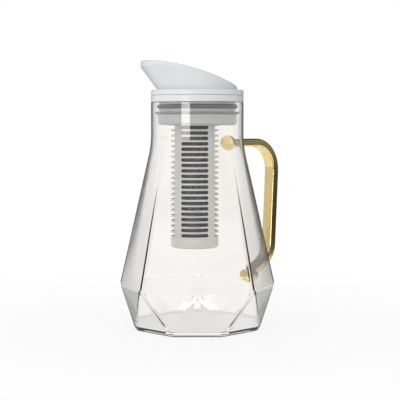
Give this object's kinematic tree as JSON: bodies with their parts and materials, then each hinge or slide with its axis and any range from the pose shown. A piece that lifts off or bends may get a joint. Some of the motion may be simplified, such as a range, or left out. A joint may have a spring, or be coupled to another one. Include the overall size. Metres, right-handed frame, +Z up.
{
  "type": "water filter pitcher",
  "caption": "Faceted clear glass water pitcher with a gold bar handle, a white plug lid with a leaning pour spout, and a slotted carbon filter cage that hangs from the lid",
  "frame": {"origin": "centre of the jug's flat base, on the surface it stands on", "axes": "+Z up along the jug's axis, +X from the axis to the handle, +Y to the left seen from the handle"},
  "size_m": [0.1857, 0.149, 0.2545],
  "materials": {
    "clear_glass": "clear, fire polished",
    "gold_metal": "gold plated, polished",
    "lid_plastic": "cool white, glossy moulding",
    "cage_plastic": "light grey, satin moulding",
    "cartridge_plastic": "grey, matt moulding",
    "dark_silicone": "dark grey silicone",
    "pale_silicone": "pale grey silicone",
    "pin_steel": "drawn stainless pin",
    "filter_mesh": "fine dark woven mesh",
    "carbon": "black granules",
    "felt": "white pressed felt"
  },
  "bodies": {
    "jug": {"glass_body": "clear_glass", "handle": "gold_metal"},
    "plug": {"lid_plug": "lid_plastic", "upper_seal_ring": "dark_silicone", "lower_lip_seal": "pale_silicone", "vent_valve": "pale_silicone"},
    "cap": {"spout_cap": "lid_plastic", "cap_gasket": "pale_silicone", "flap_hinge_pin": "pin_steel"},
    "flap": {"spout_flap": "lid_plastic"},
    "filter": {"filter_cage": "cage_plastic", "cage_o_ring": "dark_silicone", "cartridge_bottom_cap": "cartridge_plastic", "cartridge_top_cap": "cartridge_plastic", "outlet_o_ring": "dark_silicone", "mesh_sleeve": "filter_mesh", "carbon_bed": "carbon", "lower_felt_pad": "felt", "upper_felt_pad": "felt", "core_tube": "cartridge_plastic"},
    "end_cap": {"cage_end_cap": "cage_plastic"}
  },
  "joints": [
    {"name": "lid_lift", "type": "slide", "parent": "jug", "child": "plug", "axis": [0, 0, 1], "range_m": [0, 0.145]},
    {"name": "cap_swivel", "type": "hinge", "parent": "plug", "child": "cap", "pos_m": [0, 0, 0.224], "axis": [0, 0, 1], "continuous": true},
    {"name": "flap_pivot", "type": "hinge", "parent": "cap", "child": "flap", "pos_m": [0.00636, -0.00636, 0.24047], "axis": [0.7071, 0.7071, 0], "range_deg": [0, 70]},
    {"name": "cage_pull", "type": "slide", "parent": "plug", "child": "filter", "axis": [0, 0, -1], "range_m": [0, 0.03]},
    {"name": "end_cap_turn", "type": "hinge", "parent": "filter", "child": "end_cap", "pos_m": [-0.0017, 0.0017, 0.08], "axis": [0, 0, 1], "range_deg": [0, 60]}
  ]
}
